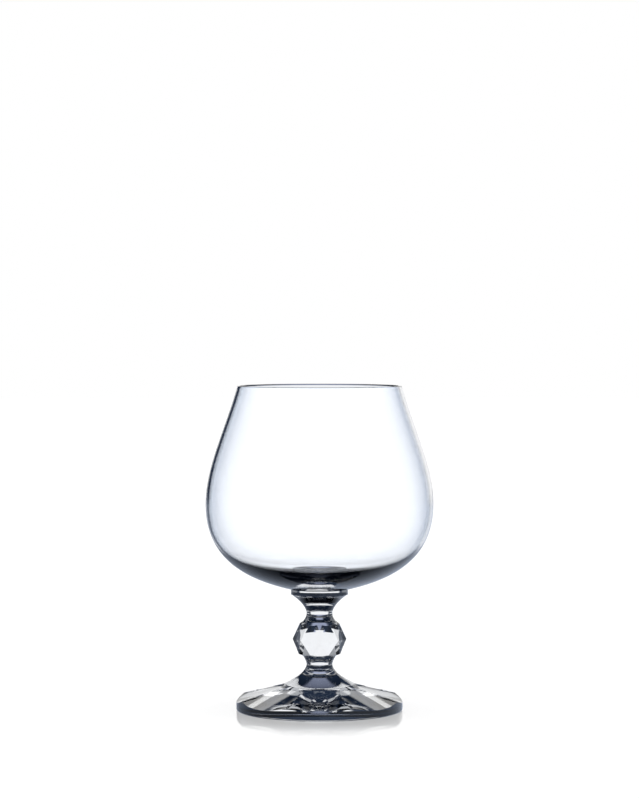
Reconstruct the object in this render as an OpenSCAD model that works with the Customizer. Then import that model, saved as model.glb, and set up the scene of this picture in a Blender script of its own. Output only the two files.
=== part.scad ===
// Stemmed brandy snifter in clear glass: a thin blown bowl, a pressed stem with a faceted knop
// between two waisted necks, and a fluted foot. The pieces meet face to face where the glass is
// fused. The origin is the middle of the face that the foot rests on, and Z is the axis of the glass.

/* [Bowl] */
// Height of the bowl, from the collar of the stem to the rim
bowl_h = 73.4; // [66:0.1:82]
// Outer diameter at the widest place of the belly
belly_d = 82.1; // [74:0.1:92]
// Height of the widest place above the collar
belly_h = 30.8; // [28:0.1:35]
// Outer diameter at the rim
rim_d = 59.4; // [50:0.1:68]
// Thickness of the wall at the belly and the rim
wall = 1.1; // [0.8:0.05:1.5]
// Thickness of the glass in the middle of the floor
floor_t = 3.8; // [3.4:0.1:5]

/* [Stem] */
// Diameter of the collar that carries the bowl
collar_d = 20.6; // [19:0.1:23]
// Thickness of the collar at its edge
collar_t = 1.8; // [1.2:0.1:2.6]
// Diameter of the upper neck at its waist
upper_neck_d = 9.3; // [8.4:0.1:10.2]
// Height of the flare from the upper waist to the collar
upper_flare_h = 6.9; // [5.5:0.1:8.5]
// Height of the upper waist above the shoulder of the knop
upper_neck_h = 2.9; // [2.4:0.1:3.6]
// Diameter of the lower neck at its waist
lower_neck_d = 9.3; // [8.4:0.1:10.2]
// Depth of the lower waist under the underside of the knop
lower_neck_h = 3.1; // [2.6:0.1:3.8]
// Depth of the flare from the lower waist to the foot
lower_flare_h = 5.1; // [4:0.1:6.5]
// Diameter of the seam between the stem and the foot
seam_d = 17.6; // [16:0.1:19.5]

/* [Knop] */
// Diameter of the knop over two opposite corners of its belt, before they are blunted
knop_d = 19.6; // [18:0.1:21]
// Number of kite facets round the knop, above the belt and below it
kite_count = 8; // [6:1:10]
// Depth by which the kites blunt the corners of the belt
kite_inset = 0.1; // [0.05:0.05:0.3]
// Lean of the kites above the belt, in degrees
upper_kite_lean = 25; // [23:0.5:27]
// Lean of the kites below the belt, in degrees
lower_kite_lean = 23.5; // [21:0.5:26]
// Lean of the panels between the upper kites, in degrees
upper_panel_lean = 17; // [12:0.5:19]
// Lean of the panels between the lower kites, in degrees
lower_panel_lean = 12; // [9:0.5:16]
// Diameter of the round shoulder where it meets the upper neck
shoulder_d = 12; // [11:0.1:13]
// Height of that place above the belt
shoulder_h = 6.4; // [6:0.1:7]
// Diameter of the underside where it meets the lower neck
underside_d = 12.4; // [11.4:0.1:13.4]
// Depth of that place under the belt
underside_h = 5.9; // [5.4:0.1:6.4]

/* [Foot] */
// Diameter of the foot
foot_d = 60; // [56:0.1:66]
// Height of the foot, up to its seam with the stem
foot_h = 11.5; // [10.8:0.1:12.5]
// Diameter where the cove round the stem ends and the even slope starts
cove_d = 32; // [29:0.1:36]
// Height of that slope at the edge of the foot
edge_h = 4.5; // [4:0.1:5]
// Radius of the rounding along the top of the edge
edge_round = 0.8; // [0.4:0.1:1.2]
// Radius of the rounding along the bottom of the edge
toe_round = 0.6; // [0.3:0.1:0.9]
// Number of flutes in the top of the foot
flute_count = 8; // [8:1:10]
// Radius of a flute's hollow, across the flute
flute_r = 90; // [70:1:130]
// Slope of a flute along its middle, in degrees
flute_lean = 18; // [17:0.5:19]
// Distance from the axis to the round head of a flute
head_start = 13; // [12.5:0.1:14]
// Height of the flute's middle at that place
head_h = 8.4; // [8.1:0.1:8.7]
// Radius of the round head, seen from above
head_r = 9; // [8:0.1:10]
// Lean of the low wall round that head, towards the axis, in degrees
head_draft = 20; // [10:1:30]
// Width of the flat ring that the foot rests on
rest_w = 3; // [2:0.1:5]
// Height of the hollow under the foot, in its middle
hollow_h = 0.5; // [0.3:0.1:1.6]

/* [Hidden] */
$fn = 96;

// Steps along one free curve, along one small rounding and round the head of a flute
curve_steps = 10;
round_steps = 4;
head_steps = 12;
// How far a cutting or a trimmed solid runs past what it meets
overrun = 2;
// Direction of the kite and the flute at the front
front = 270;

collar_r = collar_d / 2;
belly_r = belly_d / 2;
rim_r = rim_d / 2;
upper_neck_r = upper_neck_d / 2;
lower_neck_r = lower_neck_d / 2;
seam_r = seam_d / 2;
knop_r = knop_d / 2;
shoulder_r = shoulder_d / 2;
underside_r = underside_d / 2;
foot_r = foot_d / 2;
cove_r = cove_d / 2;
rest_r = foot_r - toe_round;
hollow_r = rest_r - rest_w;

// Heights of the places along the stem
lower_waist_z = foot_h + lower_flare_h;
underside_z = lower_waist_z + lower_neck_h;
belt_z = underside_z + underside_h;
shoulder_z = belt_z + shoulder_h;
upper_waist_z = shoulder_z + upper_neck_h;
collar_z = upper_waist_z + upper_flare_h;
bowl_z = collar_z + collar_t;

// Slopes where curves start and end: rise for each unit of distance from the axis
base_slope = 0.24;
flare_slope = 0.6;
shoulder_slope = 0.65;
underside_slope = 0.42;
seam_slope = 0.6;
foot_slope = 0.26;
// Run towards the axis for each unit of height, at the rim
rim_slope = 0.3;

// How far the handles of each curve reach, as shares of the distance that the curve covers
base_share = 0.47;
belly_low_share = 0.68;
belly_high_share = 0.31;
rim_share = 0.4;
floor_share = 0.5;
inner_low_share = 0.88;
waist_share = 0.35;
collar_share = 0.4;
seam_share = 0.54;
upper_cove_share = 0.41;
lower_cove_share = 0.21;
knop_share = 0.3;
foot_cove_share = 0.55;
foot_end_share = 0.33;

// A free curve from a to d that leaves towards b and arrives from c
function bezier(a, b, c, d, t) =
    pow(1 - t, 3) * a + 3 * pow(1 - t, 2) * t * b + 3 * (1 - t) * pow(t, 2) * c + pow(t, 3) * d;
function curve(a, b, c, d) =
    [for (i = [0 : curve_steps]) bezier(a, b, c, d, i / curve_steps)];
// An arc about a centre, from one angle to another
function arc(centre, radius, from, to, steps) =
    [for (i = [0 : steps])
        let (angle = from + (to - from) * i / steps)
            centre + radius * [cos(angle), sin(angle)]];

module turned(outline) {
    rotate_extrude()
        polygon(outline);
}

// Blown in a mould: thick floor, thin wall, fire-polished round rim
module bowl() {
    rise = bowl_h - belly_h;
    lip_r = wall / 2;
    lip_angle = atan(rim_slope);
    lip = [rim_r - lip_r, bowl_h - lip_r];
    outer_lip = lip + lip_r * [cos(lip_angle), sin(lip_angle)];
    inner_lip = lip - lip_r * [cos(lip_angle), sin(lip_angle)];
    base_reach = (belly_r - collar_r) * base_share;
    drop = belly_h - floor_t;
    inner_r = belly_r - wall;
    lip_reach = rise * rim_share;
    outline = concat(
        [[0, 0]],
        curve(
            [collar_r, 0],
            [collar_r + base_reach, base_reach * base_slope],
            [belly_r, belly_h - belly_h * belly_low_share],
            [belly_r, belly_h]
        ),
        curve(
            [belly_r, belly_h],
            [belly_r, belly_h + rise * belly_high_share],
            outer_lip + lip_reach * [rim_slope, -1],
            outer_lip
        ),
        arc(lip, lip_r, lip_angle, lip_angle + 180, 2 * round_steps),
        curve(
            inner_lip,
            inner_lip + lip_reach * [rim_slope, -1],
            [inner_r, belly_h + rise * belly_high_share],
            [inner_r, belly_h]
        ),
        curve(
            [inner_r, belly_h],
            [inner_r, belly_h - drop * inner_low_share],
            [inner_r * floor_share, floor_t],
            [0, floor_t]
        )
    );
    color("aliceblue", 0.5)
        translate([0, 0, bowl_z])
            turned(outline);
}

// One ring of flat cuts above or below the belt: planes that lean inwards from it
module knop_ring(distance, lean, reach, first) {
    for (k = [0 : kite_count - 1])
        rotate([0, 0, first + 360 * k / kite_count])
            translate([distance, 0, 0])
                rotate([0, -lean, 0])
                    translate([0, -knop_r, -overrun])
                        cube([knop_r, knop_d, reach / cos(lean) + overrun]);
}

// The rings above and below the belt, at the same distance from the axis there
module knop_cuts(distance, upper_lean, lower_lean, first) {
    translate([0, 0, belt_z]) {
        knop_ring(distance, upper_lean, shoulder_h, first);
        mirror([0, 0, 1])
            knop_ring(distance, lower_lean, underside_h, first);
    }
}

// Collar, upper neck, knop with its cut facets, and lower neck
module stem() {
    blank_r = knop_r + overrun;
    half_turn = 180 / kite_count;
    kite_distance = knop_r - kite_inset;
    panel_distance = knop_r * cos(half_turn);
    collar_reach = (collar_r - upper_neck_r) * collar_share;
    seam_reach = (seam_r - lower_neck_r) * seam_share;
    shoulder_reach = (shoulder_r - upper_neck_r) * knop_share;
    underside_reach = (underside_r - lower_neck_r) * knop_share;
    outline = concat(
        [[0, foot_h]],
        curve(
            [seam_r, foot_h],
            [seam_r, foot_h] + seam_reach * [-1, seam_slope],
            [lower_neck_r, lower_waist_z - lower_flare_h * waist_share],
            [lower_neck_r, lower_waist_z]
        ),
        curve(
            [lower_neck_r, lower_waist_z],
            [lower_neck_r, lower_waist_z + lower_neck_h * lower_cove_share],
            [underside_r, underside_z] - underside_reach * [1, underside_slope],
            [underside_r, underside_z]
        ),
        [
            [blank_r, underside_z + (blank_r - underside_r) * underside_slope],
            [blank_r, shoulder_z - (blank_r - shoulder_r) * shoulder_slope]
        ],
        curve(
            [shoulder_r, shoulder_z],
            [shoulder_r, shoulder_z] + shoulder_reach * [-1, shoulder_slope],
            [upper_neck_r, upper_waist_z - upper_neck_h * upper_cove_share],
            [upper_neck_r, upper_waist_z]
        ),
        curve(
            [upper_neck_r, upper_waist_z],
            [upper_neck_r, upper_waist_z + upper_flare_h * waist_share],
            [collar_r, collar_z] - collar_reach * [1, flare_slope],
            [collar_r, collar_z]
        ),
        [[collar_r, bowl_z], [0, bowl_z]]
    );
    color("lavender", 0.6)
        difference() {
            difference() {
                turned(outline);
                knop_cuts(kite_distance, upper_kite_lean, lower_kite_lean, front);
            }
            knop_cuts(panel_distance, upper_panel_lean, lower_panel_lean, front + half_turn);
        }
}

// One flute: hollow across, straight along its middle, with a low wall round its head
module flute_cut() {
    run = foot_r;
    spread = (run - head_r) * tan(180 / flute_count);
    plan = concat(
        arc([head_r, 0], head_r, 90, 270, head_steps),
        [[run, -head_r - spread], [run, head_r + spread]]
    );
    translate([head_start, 0, head_h])
        intersection() {
            rotate([0, flute_lean, 0])
                translate([-overrun, 0, flute_r])
                    rotate([0, 90, 0])
                        cylinder(h = run + overrun, r = flute_r);
            rotate([0, -head_draft, 0])
                translate([0, 0, -foot_h])
                    linear_extrude(2 * foot_h)
                        polygon(plan);
        }
}

// Pressed: a cove round the stem, flutes to the edge, and a shallow hollow inside the resting ring
module foot() {
    top_angle = 90 - atan(foot_slope);
    edge_z = edge_h + edge_round * foot_slope - edge_round / sin(top_angle);
    cove_z = edge_h + (foot_r - cove_r) * foot_slope;
    cove_reach = (cove_r - seam_r) * foot_cove_share;
    end_reach = (cove_r - seam_r) * foot_end_share;
    ball_r = (pow(hollow_r, 2) + pow(hollow_h, 2)) / (2 * hollow_h);
    outline = concat(
        [[0, foot_h]],
        curve(
            [seam_r, foot_h],
            [seam_r, foot_h] + cove_reach * [1, -seam_slope],
            [cove_r, cove_z] + end_reach * [-1, foot_slope],
            [cove_r, cove_z]
        ),
        arc([foot_r - edge_round, edge_z], edge_round, top_angle, 0, round_steps),
        arc([foot_r - toe_round, toe_round], toe_round, 0, -90, round_steps),
        arc(
            [0, hollow_h - ball_r],
            ball_r,
            90 - asin(hollow_r / ball_r),
            90,
            curve_steps
        )
    );
    color("lightsteelblue", 0.6)
        difference() {
            turned(outline);
            for (k = [0 : flute_count - 1])
                rotate([0, 0, front + 360 * k / flute_count])
                    flute_cut();
        }
}

bowl();
stem();
foot();
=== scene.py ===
"""A stemmed spirits glass in clear glass: a pressed fluted foot, a pressed stem with a faceted
knop, and a thin blown bowl. The sections follow the glass from the table up. Lengths are in
metres."""

import math

import bpy
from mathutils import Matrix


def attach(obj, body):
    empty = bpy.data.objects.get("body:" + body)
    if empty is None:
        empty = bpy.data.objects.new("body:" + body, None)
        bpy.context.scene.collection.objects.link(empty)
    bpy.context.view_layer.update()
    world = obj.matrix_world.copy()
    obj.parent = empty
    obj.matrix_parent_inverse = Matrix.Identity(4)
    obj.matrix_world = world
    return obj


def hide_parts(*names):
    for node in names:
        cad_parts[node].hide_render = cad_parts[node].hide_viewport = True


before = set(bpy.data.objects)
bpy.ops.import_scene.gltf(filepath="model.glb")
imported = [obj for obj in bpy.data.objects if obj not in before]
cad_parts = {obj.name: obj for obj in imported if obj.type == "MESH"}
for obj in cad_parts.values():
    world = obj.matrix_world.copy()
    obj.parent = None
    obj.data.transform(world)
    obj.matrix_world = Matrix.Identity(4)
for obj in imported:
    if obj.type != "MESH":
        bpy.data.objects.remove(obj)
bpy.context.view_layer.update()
bpy.ops.object.select_all(action="DESELECT")
mm = 0.001


# Foot
# A thick disc of pressed glass that carries the stem. The mould gives it a cove round the stem,
# eight flutes with round heads, and a shallow hollow underneath, so that it rests on a flat ring.
foot_r = 30 * mm
foot_h = 11.5 * mm
seam_r = 8.8 * mm
cove_r = 16 * mm
foot_slope = 0.26
seam_slope = 0.6
edge_h = 4.5 * mm
edge_round = 0.8 * mm
toe_round = 0.6 * mm
rest_w = 3 * mm
hollow_h = 0.5 * mm
flute_count = 8
flute_r = 90 * mm
flute_lean = math.radians(18)
flute_spread = 3
head_start = 13 * mm
head_h = 8.4 * mm
head_r = 9 * mm
head_draft = math.radians(20)

# Handles of the curves, as shares of the distance that each curve covers
foot_cove_share = 0.55
foot_end_share = 0.33
hollow_edge_share = 1 / 2
hollow_middle_share = 1 / 3

# The first flute and kite face the front, at this share of a turn
front_share = -0.25
# Vertices closer than this are welded, and heights closer than the next value count as equal
weld = 0.002 * mm
near = 0.01 * mm


def turned(name, strokes, turns, steps):
    """Draws an outline of free curves, each with its start, two handles and end, and spins it."""
    bpy.ops.curve.primitive_bezier_curve_add()
    piece = bpy.context.object
    piece.name = name
    curve = piece.data
    curve.dimensions = "3D"
    curve.resolution_u = steps
    spline = curve.splines[0]
    spline.bezier_points.add(len(strokes) - 1)
    for point in spline.bezier_points:
        point.handle_left_type = "FREE"
        point.handle_right_type = "FREE"
    for here, there, stroke in zip(spline.bezier_points, spline.bezier_points[1:], strokes):
        start, leave, arrive, end = [(x, 0, z) for x, z in stroke]
        here.co = start
        here.handle_right = leave
        there.handle_left = arrive
        there.co = end
    spline.bezier_points[0].handle_left = spline.bezier_points[0].co
    spline.bezier_points[-1].handle_right = spline.bezier_points[-1].co
    bpy.ops.object.convert(target="MESH")
    bpy.ops.object.mode_set(mode="EDIT")
    bpy.ops.mesh.select_all(action="SELECT")
    bpy.ops.mesh.spin(steps=turns, angle=math.tau, center=(0, 0, 0), axis=(0, 0, 1))
    bpy.ops.mesh.select_all(action="SELECT")
    bpy.ops.mesh.remove_doubles(threshold=weld)
    bpy.ops.mesh.normals_make_consistent(inside=False)
    bpy.ops.object.mode_set(mode="OBJECT")
    return bpy.context.object


def line(a, b):
    """A straight stroke."""
    return (a, a, b, b)


def bend(centre, radius, start, end):
    """A stroke that is an arc of up to a quarter turn, between two angles in degrees."""
    a, b = math.radians(start), math.radians(end)
    reach = radius * 4 / 3 * math.tan((b - a) / 4)
    x, z = centre
    first = (x + radius * math.cos(a), z + radius * math.sin(a))
    last = (x + radius * math.cos(b), z + radius * math.sin(b))
    return (
        first,
        (first[0] - reach * math.sin(a), first[1] + reach * math.cos(a)),
        (last[0] + reach * math.sin(b), last[1] - reach * math.cos(b)),
        last,
    )


def hold(piece):
    """Makes a piece the one that operators act on."""
    bpy.ops.object.select_all(action="DESELECT")
    piece.select_set(True)
    bpy.context.view_layer.objects.active = piece


def settle(piece):
    """Moves a piece's place and turn into its mesh."""
    hold(piece)
    bpy.ops.object.transform_apply()


def open_up(piece, kind, parts, wanted):
    """Opens a piece for editing, with only the wanted ones of its vertices or faces selected."""
    hold(piece)
    bpy.ops.object.mode_set(mode="EDIT")
    bpy.ops.mesh.select_mode(type=kind)
    bpy.ops.mesh.select_all(action="DESELECT")
    bpy.ops.object.mode_set(mode="OBJECT")
    for part in parts:
        part.select = wanted(part)
    bpy.ops.object.mode_set(mode="EDIT")


def close_up(piece, crease):
    """Welds what the cuts left in two, and smooths all but creases sharper than some degrees."""
    hold(piece)
    bpy.ops.object.mode_set(mode="EDIT")
    bpy.ops.mesh.select_all(action="SELECT")
    bpy.ops.mesh.remove_doubles(threshold=weld)
    bpy.ops.object.mode_set(mode="OBJECT")
    bpy.ops.object.shade_smooth_by_angle(angle=math.radians(crease))


def carve(piece, tool, operation):
    """Cuts a piece with another solid, or keeps what both share, and removes the tool."""
    cut = piece.modifiers.new("cut", "BOOLEAN")
    cut.operation = operation
    cut.solver = "EXACT"
    cut.object = tool
    hold(piece)
    bpy.ops.object.modifier_apply(modifier=cut.name)
    bpy.data.objects.remove(tool)


edge_angle = math.degrees(math.atan(1 / foot_slope))
edge_z = edge_h + edge_round * foot_slope - edge_round / math.sin(math.radians(edge_angle))
edge_bend = bend((foot_r - edge_round, edge_z), edge_round, edge_angle, 0)
toe_bend = bend((foot_r - toe_round, toe_round), toe_round, 0, -90)
hollow_r = foot_r - toe_round - rest_w
cove_z = edge_h + (foot_r - cove_r) * foot_slope
cove_reach = (cove_r - seam_r) * foot_cove_share
end_reach = (cove_r - seam_r) * foot_end_share
foot = turned(
    "foot_glass",
    [
        line((0, foot_h), (seam_r, foot_h)),
        (
            (seam_r, foot_h),
            (seam_r + cove_reach, foot_h - cove_reach * seam_slope),
            (cove_r - end_reach, cove_z + end_reach * foot_slope),
            (cove_r, cove_z),
        ),
        line((cove_r, cove_z), edge_bend[0]),
        edge_bend,
        line(edge_bend[-1], toe_bend[0]),
        toe_bend,
        line(toe_bend[-1], (hollow_r, 0)),
        (
            (hollow_r, 0),
            (hollow_r * hollow_edge_share, hollow_h),
            (hollow_r * hollow_middle_share, hollow_h),
            (0, hollow_h),
        ),
    ],
    turns=288,
    steps=14,
)

# One flute's cutter: a block with a round head that widens outwards, cut round underneath by a
# large cylinder, the trough. A copy of it cuts each flute.
bpy.ops.mesh.primitive_cylinder_add(
    vertices=96, radius=head_r, depth=2 * foot_h, location=(head_r, 0, 0)
)
flute = bpy.context.object
settle(flute)
open_up(flute, "VERT", flute.data.vertices, lambda corner: corner.co.x > head_r + near)
bpy.ops.transform.translate(value=(foot_r, 0, 0))
bpy.ops.transform.resize(value=(1, flute_spread, 1), center_override=(0, 0, 0))
bpy.ops.object.mode_set(mode="OBJECT")
flute.rotation_euler = (0, -head_draft, 0)
settle(flute)
trough_share = 0.9
bpy.ops.mesh.primitive_cylinder_add(
    vertices=1440,
    radius=flute_r,
    depth=2 * foot_r,
    location=(foot_r * trough_share, 0, flute_r),
    rotation=(0, math.pi / 2, 0),
)
trough = bpy.context.object
settle(trough)
trough.rotation_euler = (0, flute_lean, 0)
settle(trough)
carve(flute, trough, "INTERSECT")
for k in range(flute_count):
    azimuth = math.tau * (k / flute_count + front_share)
    cutter = flute.copy()
    cutter.data = flute.data.copy()
    bpy.context.scene.collection.objects.link(cutter)
    cutter.location = (head_start * math.cos(azimuth), head_start * math.sin(azimuth), head_h)
    cutter.rotation_euler = (0, 0, azimuth)
    settle(cutter)
    carve(foot, cutter, "DIFFERENCE")
bpy.data.objects.remove(flute)
close_up(foot, crease=12)


class Wire:
    """A node's output, which Python's operators join to Math nodes in the same tree."""

    def __init__(self, tree, socket=None):
        self.tree = tree
        self.socket = socket

    def node(self, kind, output=0, settings=None, **sockets):
        """Adds a node: its settings first, then the values or links of its sockets, which are
        named, or numbered as i0, i1 and so on."""
        made = self.tree.nodes.new(kind)
        for name, value in (settings or {}).items():
            setattr(made, name, value)
        for name, value in sockets.items():
            key = int(name[1:]) if name[0] == "i" and name[1:].isdigit() else name.replace("_", " ")
            if isinstance(value, Wire):
                self.tree.links.new(value.socket, made.inputs[key])
            else:
                made.inputs[key].default_value = value
        return Wire(self.tree, made.outputs[output]) if made.outputs else None

    def math(self, operation, first, second=0.0, third=0.0):
        """A Math node, in which values past those that the operation takes have no effect."""
        settings = {"operation": operation}
        return self.node("ShaderNodeMath", settings=settings, i0=first, i1=second, i2=third)

    def __add__(self, other):
        return self.math("ADD", self, other)

    def __radd__(self, other):
        return self.math("ADD", other, self)

    def __sub__(self, other):
        return self.math("SUBTRACT", self, other)

    def __rsub__(self, other):
        return self.math("SUBTRACT", other, self)

    def __mul__(self, other):
        return self.math("MULTIPLY", self, other)

    def __rmul__(self, other):
        return self.math("MULTIPLY", other, self)

    def rise(self, low, high):
        """0 below the first value, 1 above the second, and smooth between them."""
        return self.node(
            "ShaderNodeMapRange",
            settings={"interpolation_type": "SMOOTHSTEP"},
            Value=self,
            From_Min=low,
            From_Max=high,
        )

    def fall(self, low, high):
        """1 below the first value, 0 above the second, and smooth between them."""
        return 1 - self.rise(low, high)

    def band(self, low, high):
        """1 between two edges, each given by the values that it fades between."""
        return self.rise(*low) * self.fall(*high)


def material(name):
    """A material without nodes, and the wire that adds them."""
    made = bpy.data.materials.new(name)
    made.use_nodes = True
    made.node_tree.nodes.clear()
    return made, Wire(made.node_tree)


def glass(name, ripple_size, ripple_depth):
    """Clear glass, with the faint ripple that its making leaves and a thin film on it."""
    made, add = material(name)
    place = add.node("ShaderNodeTexCoord", "Object")
    ripple = add.node(
        "ShaderNodeTexNoise", Vector=place, Scale=1 / ripple_size, Detail=1.0, Roughness=0.4
    )
    bump = add.node("ShaderNodeBump", Strength=1.0, Distance=ripple_depth, Height=ripple)
    film = add.node("ShaderNodeTexNoise", Vector=place, Scale=90.0, Detail=3.0)
    dullest = 0.012
    shader = add.node(
        "ShaderNodeBsdfPrincipled",
        Base_Color=(0.95, 0.968, 0.996, 1),
        Roughness=film.rise(0.45, 0.8) * dullest,
        IOR=1.52,
        Transmission_Weight=1.0,
        Normal=bump,
    )
    add.node("ShaderNodeOutputMaterial", Surface=shader)
    return made


def fused(name):
    """The seam inside fused glass, which bends no light."""
    made, add = material(name)
    clear = add.node("ShaderNodeBsdfTransparent", Color=(1, 1, 1, 1))
    add.node("ShaderNodeOutputMaterial", Surface=clear)
    return made


pressed_glass = glass("pressed_glass", ripple_size=9 * mm, ripple_depth=0.004 * mm)
seam_glass = fused("fused_seam")
level = 0.99


def dress(piece, finish, seams):
    """Gives a piece its glass, and the seam's glass on the level faces at these heights."""
    piece.data.materials.clear()
    piece.data.materials.append(finish)
    piece.data.materials.append(seam_glass)
    for face in piece.data.polygons:
        face.material_index = 0
        for height in seams:
            if abs(face.center.z - height) < near and abs(face.normal.z) > level:
                face.material_index = 1


dress(foot, pressed_glass, [foot_h])
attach(foot, "root")
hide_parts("foot")


# Stem
# Pressed in one piece with its knop, then cut: eight kites and eight panels above the belt, and
# as many below it. It is fused to the foot at its lower flare and carries the bowl on its collar.
collar_r = 10.3 * mm
collar_t = 1.8 * mm
upper_neck_r = 4.65 * mm
lower_neck_r = 4.65 * mm
upper_flare_h = 6.9 * mm
upper_neck_h = 2.9 * mm
lower_neck_h = 3.1 * mm
lower_flare_h = 5.1 * mm
knop_r = 9.8 * mm
kite_count = 8
kite_inset = 0.1 * mm
upper_kite_lean = 25
lower_kite_lean = 23.5
upper_panel_lean = 17
lower_panel_lean = 12
shoulder_r = 6 * mm
shoulder_h = 6.4 * mm
underside_r = 6.2 * mm
underside_h = 5.9 * mm
flare_slope = 0.6
shoulder_slope = 0.65
underside_slope = 0.42

# Handles of the curves, as shares of the distance that each curve covers
seam_share = 0.54
waist_share = 0.35
lower_cove_share = 0.21
upper_cove_share = 0.41
knop_share = 0.3
collar_share = 0.4

lower_waist_z = foot_h + lower_flare_h
underside_z = lower_waist_z + lower_neck_h
belt_z = underside_z + underside_h
shoulder_z = belt_z + shoulder_h
upper_waist_z = shoulder_z + upper_neck_h
collar_z = upper_waist_z + upper_flare_h
bowl_z = collar_z + collar_t
overrun = 2 * mm
blank_r = knop_r + overrun
low_corner = (blank_r, underside_z + (blank_r - underside_r) * underside_slope)
high_corner = (blank_r, shoulder_z - (blank_r - shoulder_r) * shoulder_slope)
seam_reach = (seam_r - lower_neck_r) * seam_share
underside_reach = (underside_r - lower_neck_r) * knop_share
shoulder_reach = (shoulder_r - upper_neck_r) * knop_share
collar_reach = (collar_r - upper_neck_r) * collar_share
stem = turned(
    "stem_glass",
    [
        line((0, foot_h), (seam_r, foot_h)),
        (
            (seam_r, foot_h),
            (seam_r - seam_reach, foot_h + seam_reach * seam_slope),
            (lower_neck_r, lower_waist_z - lower_flare_h * waist_share),
            (lower_neck_r, lower_waist_z),
        ),
        (
            (lower_neck_r, lower_waist_z),
            (lower_neck_r, lower_waist_z + lower_neck_h * lower_cove_share),
            (underside_r - underside_reach, underside_z - underside_reach * underside_slope),
            (underside_r, underside_z),
        ),
        line((underside_r, underside_z), low_corner),
        line(low_corner, high_corner),
        line(high_corner, (shoulder_r, shoulder_z)),
        (
            (shoulder_r, shoulder_z),
            (shoulder_r - shoulder_reach, shoulder_z + shoulder_reach * shoulder_slope),
            (upper_neck_r, upper_waist_z - upper_neck_h * upper_cove_share),
            (upper_neck_r, upper_waist_z),
        ),
        (
            (upper_neck_r, upper_waist_z),
            (upper_neck_r, upper_waist_z + upper_flare_h * waist_share),
            (collar_r - collar_reach, collar_z - collar_reach * flare_slope),
            (collar_r, collar_z),
        ),
        line((collar_r, collar_z), (collar_r, bowl_z)),
        line((collar_r, bowl_z), (0, bowl_z)),
    ],
    turns=192,
    steps=12,
)


def grind(piece, distance, lean, first, side):
    """Grinds a ring of flats on the knop: side is 1 above the belt and -1 below it."""
    tilt = math.radians(lean)
    for k in range(kite_count):
        azimuth = math.tau * ((k + first) / kite_count + front_share)
        open_up(
            piece,
            "FACE",
            piece.data.polygons,
            lambda face: underside_z < face.center.z < shoulder_z,
        )
        bpy.ops.mesh.bisect(
            plane_co=(distance * math.cos(azimuth), distance * math.sin(azimuth), belt_z),
            plane_no=(
                math.cos(azimuth) * math.cos(tilt),
                math.sin(azimuth) * math.cos(tilt),
                side * math.sin(tilt),
            ),
            use_fill=True,
            clear_outer=True,
            threshold=0.0001 * mm,
        )
        bpy.ops.object.mode_set(mode="OBJECT")


kite_distance = knop_r - kite_inset
panel_distance = knop_r * math.cos(math.pi / kite_count)
grind(stem, kite_distance, upper_kite_lean, first=0, side=1)
grind(stem, kite_distance, lower_kite_lean, first=0, side=-1)
grind(stem, panel_distance, upper_panel_lean, first=0.5, side=1)
grind(stem, panel_distance, lower_panel_lean, first=0.5, side=-1)
close_up(stem, crease=10)
dress(stem, pressed_glass, [foot_h, bowl_z])
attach(stem, "root")
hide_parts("stem")


# Bowl
# Blown in a mould: a thick floor over the collar, a wall about a millimetre thick from the belly
# up, and a rim that was cut, ground and melted round.
belly_r = 41.05 * mm
belly_h = 30.8 * mm
bowl_h = 73.4 * mm
rim_r = 29.7 * mm
wall = 1.1 * mm
floor_t = 3.8 * mm
base_slope = 0.24
rim_slope = 0.3

# Handles of the curves, as shares of the distance that each curve covers
base_share = 0.47
belly_low_share = 0.68
belly_high_share = 0.31
rim_share = 0.4
inner_low_share = 0.88
floor_share = 0.5

lip_r = wall / 2
lip_angle = math.degrees(math.atan(rim_slope))
lip = (rim_r - lip_r, bowl_z + bowl_h - lip_r)
outer_bend = bend(lip, lip_r, lip_angle, 90)
inner_bend = bend(lip, lip_r, 90, 180 + lip_angle)
belly_z = bowl_z + belly_h
rise = bowl_h - belly_h
base_reach = (belly_r - collar_r) * base_share
lip_reach = rise * rim_share
inner_r = belly_r - wall
floor_z = bowl_z + floor_t
bowl = turned(
    "bowl_glass",
    [
        line((0, bowl_z), (collar_r, bowl_z)),
        (
            (collar_r, bowl_z),
            (collar_r + base_reach, bowl_z + base_reach * base_slope),
            (belly_r, belly_z - belly_h * belly_low_share),
            (belly_r, belly_z),
        ),
        (
            (belly_r, belly_z),
            (belly_r, belly_z + rise * belly_high_share),
            (outer_bend[0][0] + lip_reach * rim_slope, outer_bend[0][1] - lip_reach),
            outer_bend[0],
        ),
        outer_bend,
        inner_bend,
        (
            inner_bend[-1],
            (inner_bend[-1][0] + lip_reach * rim_slope, inner_bend[-1][1] - lip_reach),
            (inner_r, belly_z + rise * belly_high_share),
            (inner_r, belly_z),
        ),
        (
            (inner_r, belly_z),
            (inner_r, belly_z - (belly_z - floor_z) * inner_low_share),
            (inner_r * floor_share, floor_z),
            (0, floor_z),
        ),
    ],
    turns=256,
    steps=32,
)
bpy.ops.object.shade_smooth_by_angle(angle=math.radians(20))
blown_glass = glass("blown_glass", ripple_size=30 * mm, ripple_depth=0.006 * mm)
dress(bowl, blown_glass, [bowl_z])
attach(bowl, "root")
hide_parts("bowl")


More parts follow.
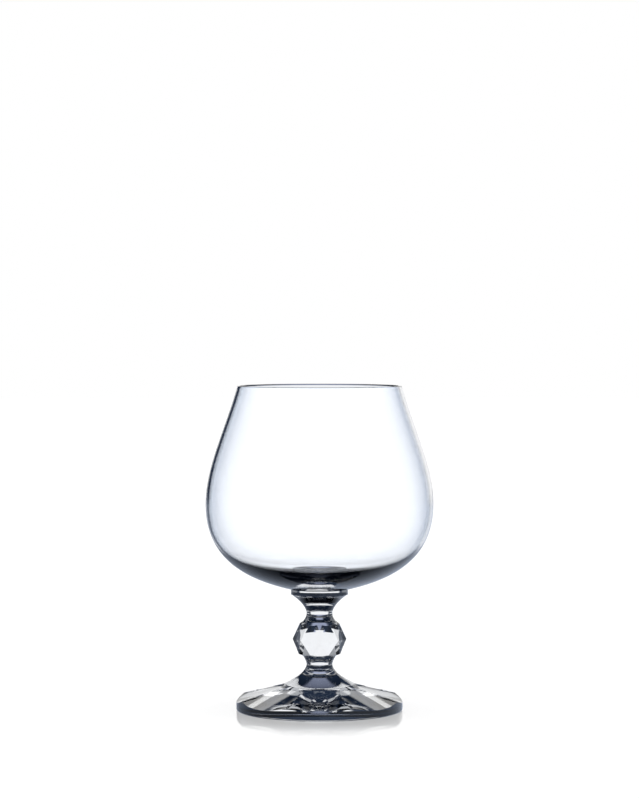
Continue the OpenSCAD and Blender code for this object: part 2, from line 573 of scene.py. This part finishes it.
# Floor
# A plain white table with a gloss close round the foot, where it mirrors the glass at a low
# glance. The glass doesn't see the table, so that only the studio is mirrored and bent in it.
table_r = 4
gloss_full_r = 34 * mm
gloss_gone_r = 72 * mm
gloss_share = 0.5
bpy.ops.mesh.primitive_circle_add(vertices=96, radius=table_r, fill_type="NGON")
floor = bpy.context.object
floor.name = "floor"
floor_paint, add = material("floor_paint")
white = add.node("ShaderNodeBsdfDiffuse", Color=(0.8, 0.8, 0.8, 1))
glow = add.node("ShaderNodeEmission", Color=(1, 1, 1, 1), Strength=0.32)
both = add.node("ShaderNodeAddShader", i0=white, i1=glow)
gloss = add.node("ShaderNodeBsdfGlossy", Color=(1, 1, 1, 1), Roughness=0.04)
place = add.node("ShaderNodeTexCoord", "Object")
reach = add.node("ShaderNodeVectorMath", "Value", {"operation": "LENGTH"}, i0=place)
glance = add.node("ShaderNodeLayerWeight", "Facing", Blend=0.5).rise(0.74, 0.86)
sheen = reach.fall(gloss_full_r, gloss_gone_r) * glance * gloss_share
surface = add.node("ShaderNodeMixShader", Fac=sheen, i1=both, i2=gloss)
add.node("ShaderNodeOutputMaterial", Surface=surface)
floor.data.materials.append(floor_paint)
floor.visible_transmission = False
floor.visible_glossy = False


# Studio
# A white screen stands behind the glass in a dark blue room, which gives clear glass its dark
# edges, with smaller lights round it. Each light is placed by bearing and height, in degrees from
# the glass, and a pair of values is an edge that fades between them.
night = (0.005, 0.009, 0.018, 1)
evening = (0.018, 0.029, 0.054, 1)
dusk = (0.42, 0.46, 0.62, 1)
veil = (0.74, 0.83, 1.0, 1)
haze = (0.85, 0.905, 1.0, 1)
day = (1, 1, 1, 1)
studio = bpy.data.worlds.new("studio")
bpy.context.scene.world = studio
studio.use_nodes = True
studio.node_tree.nodes.clear()
add = Wire(studio.node_tree)
way = add.node("ShaderNodeTexCoord", "Generated")
east = add.node("ShaderNodeSeparateXYZ", "X", Vector=way)
north = add.node("ShaderNodeSeparateXYZ", "Y", Vector=way)
up = add.node("ShaderNodeSeparateXYZ", "Z", Vector=way)
bearing = add.math("ARCTAN2", east, north) * (180 / math.pi)
# The bearing to either side
aside = add.math("ABSOLUTE", bearing)
height = add.math("ARCSINE", up) * (180 / math.pi)


def shade(factor, dark, light):
    """A colour between two others."""
    settings = {"data_type": "RGBA"}
    return add.node("ShaderNodeMix", 2, settings, Factor=factor, i6=dark, i7=light)


def panel(across, heights, share=1.0):
    """A light: how far it reaches across, the two edges of its height, and its share of white."""
    return across * height.band(*heights) * share


def together(first, *others):
    """Lights that stand side by side, and are white at most where they overlap."""
    total = first
    for other in others:
        total = total + other
    return add.math("MINIMUM", total, 1)


# What the glass shows where light only bends on its way through
screen = panel(aside.fall(30, 36), heights=((-20, -14), (21, 23)))
corners = panel(aside.band((24, 26), (38, 42)), heights=((20, 22), (30, 33)), share=0.35)
aisles = panel(aside.band((40, 43), (75, 80)), heights=((-18, -15), (-8, -5)), share=0.9)
rear = panel(aside.rise(75, 80), heights=((-40, -30), (16, 22)))
table = panel(aside.fall(7, 12), heights=((-62, -40), (-30, -22)), share=0.9)
apron = panel(aside.fall(18, 24), heights=((-31, -27), (-18, -14)), share=0.45)
glow = panel(aside.fall(17, 75), heights=((-60, -20), (15, 70)))
gloom = shade(glow, night, evening)
straight = shade(add.math("MAXIMUM", table, apron), gloom, dusk)
straight = shade(together(screen, corners, aisles, rear), straight, day)

# What it shows where light is also mirrored inside: a lower screen, so that the foot stays dark
table_share = 0.5
low_screen = panel(bearing.band((-17, -13), (22, 32)), heights=((-20, -14), (12, 15)))
shoulders = panel(aside.band((13, 16), (29, 34)), heights=((10, 13), (29, 33)), share=0.5)
lamps = panel(aside.band((8, 10), (14, 17)), heights=((31, 34), (41, 44)), share=0.7)
doors = aside.band((112, 118), (150, 156)) + aside.rise(163, 169)
rear_doors = panel(doors, heights=((-30, -22), (12, 16)), share=0.6)
mirrored = shade(table * table_share, gloom, dusk)
mirrored = shade(together(low_screen, shoulders, lamps, rear_doors), mirrored, day)

# What its outside mirrors: the table in the shade of the glass, a screen that stops short on the
# left, where it leaves the bowl's dark edge line, and a light overhead with a bright tube in it
cloth = panel(bearing.rise(-12, 8) * 0.3 + 0.45, heights=((-70, -20), (-5, -1)))
wing_share = 0.5 - aside.rise(80, 100) * 0.15
wings = panel(aside.rise(36, 42), heights=((-5, -1), (24, 40)), share=wing_share)
right_screen = panel(bearing.band((-15, -11), (36, 44)), heights=((-5, -1), (21, 26)))
roof = panel(aside.band((8, 10), (15, 18)), heights=((28, 30), (42, 46)))
tube = height.band((34.6, 35.6), (37.6, 38.8))
outside = shade(cloth + wings, gloom, veil)
outside = shade(add.math("MAXIMUM", right_screen, roof), outside, day)

# Which of these a ray meets, by how often it went through a face of the glass and was mirrored
half = 0.5
crossings = add.node("ShaderNodeLightPath", "Transmission Depth")
mirrorings = add.node("ShaderNodeLightPath", "Glossy Depth")
unbroken = add.math("LESS_THAN", mirrorings, half)
untouched = add.math("LESS_THAN", crossings, half)
room = shade(untouched, mirrored, outside)
room = shade(unbroken, room, straight)

# The bowl's two thin walls, with two faces each, show white from every side, and pale blue a
# little aside from the middle.
wall_crossings = 4
through = add.math("COMPARE", crossings, wall_crossings, half)
clear = panel(through * unbroken, heights=((-34, -26), (30, 45)))
pale = shade(aside.band((3, 12), (25, 40)), day, haze)
room = shade(clear, room, pale)

# The camera and the table see white
on_camera = add.node("ShaderNodeLightPath", "Is Camera Ray")
on_table = add.node("ShaderNodeLightPath", "Diffuse Depth")
seen = add.math("MINIMUM", add.math("MAXIMUM", on_camera, on_table), 1)
light = shade(seen, room, day)
roof_glare = 0.8
tube_glare = 3.2
clear_glare = 0.4
glare = (1 - unbroken) * untouched * roof * (roof_glare + tube * tube_glare)
strength = 1 + clear * clear_glare + glare
background = add.node("ShaderNodeBackground", Color=light, Strength=strength)
add.node("ShaderNodeOutputWorld", Surface=background)


# Camera
# Nearly a metre away, a little above the rim, and tipped down slightly.
camera_back = 0.949
camera_up = 0.139
camera_tip = math.radians(1.63)
level_view = math.radians(90)
camera_data = bpy.data.cameras.new("camera")
camera = bpy.data.objects.new("camera", camera_data)
bpy.context.scene.collection.objects.link(camera)
camera_data.sensor_fit = "VERTICAL"
camera_data.sensor_height = 36
camera_data.sensor_width = 36
camera_data.lens = 118.8
camera.location = (0, -camera_back, camera_up)
camera.rotation_euler = (level_view - camera_tip, 0, 0)
bpy.context.scene.camera = camera
bpy.context.scene.view_settings.view_transform = "Standard"
